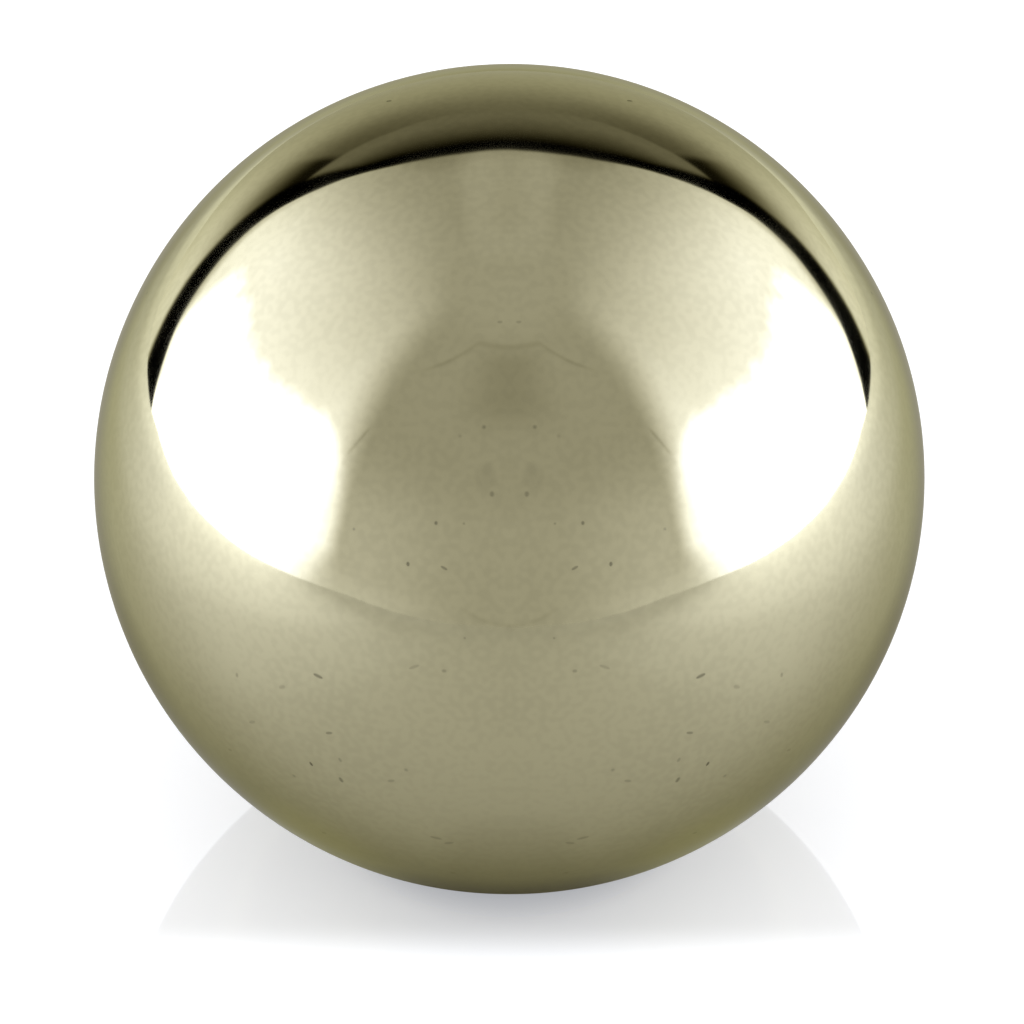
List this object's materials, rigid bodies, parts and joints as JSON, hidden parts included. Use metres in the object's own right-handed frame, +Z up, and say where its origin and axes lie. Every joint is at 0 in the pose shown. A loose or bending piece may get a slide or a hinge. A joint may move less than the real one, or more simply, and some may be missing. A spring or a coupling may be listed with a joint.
{
  "type": "decorative ceramic ball",
  "caption": "Hollow round ornament with a mirror-bright pale gold glaze and a small hole underneath, for display on a shelf, in a dish or on a peg.",
  "frame": {"origin": "centre of the ring that the ball stands on, in the plane of the surface under it", "axes": "+Z up, along the ball's axis through the hole in its underside; X and Y are level, and the ball is round about Z"},
  "size_m": [0.1, 0.1, 0.0997],
  "materials": {
    "lustre_glaze": "pale gold metallic lustre, fired over the glaze and mirror bright, on a cast white body"
  },
  "bodies": {
    "root": {"ball": "lustre_glaze"}
  },
  "joints": []
}
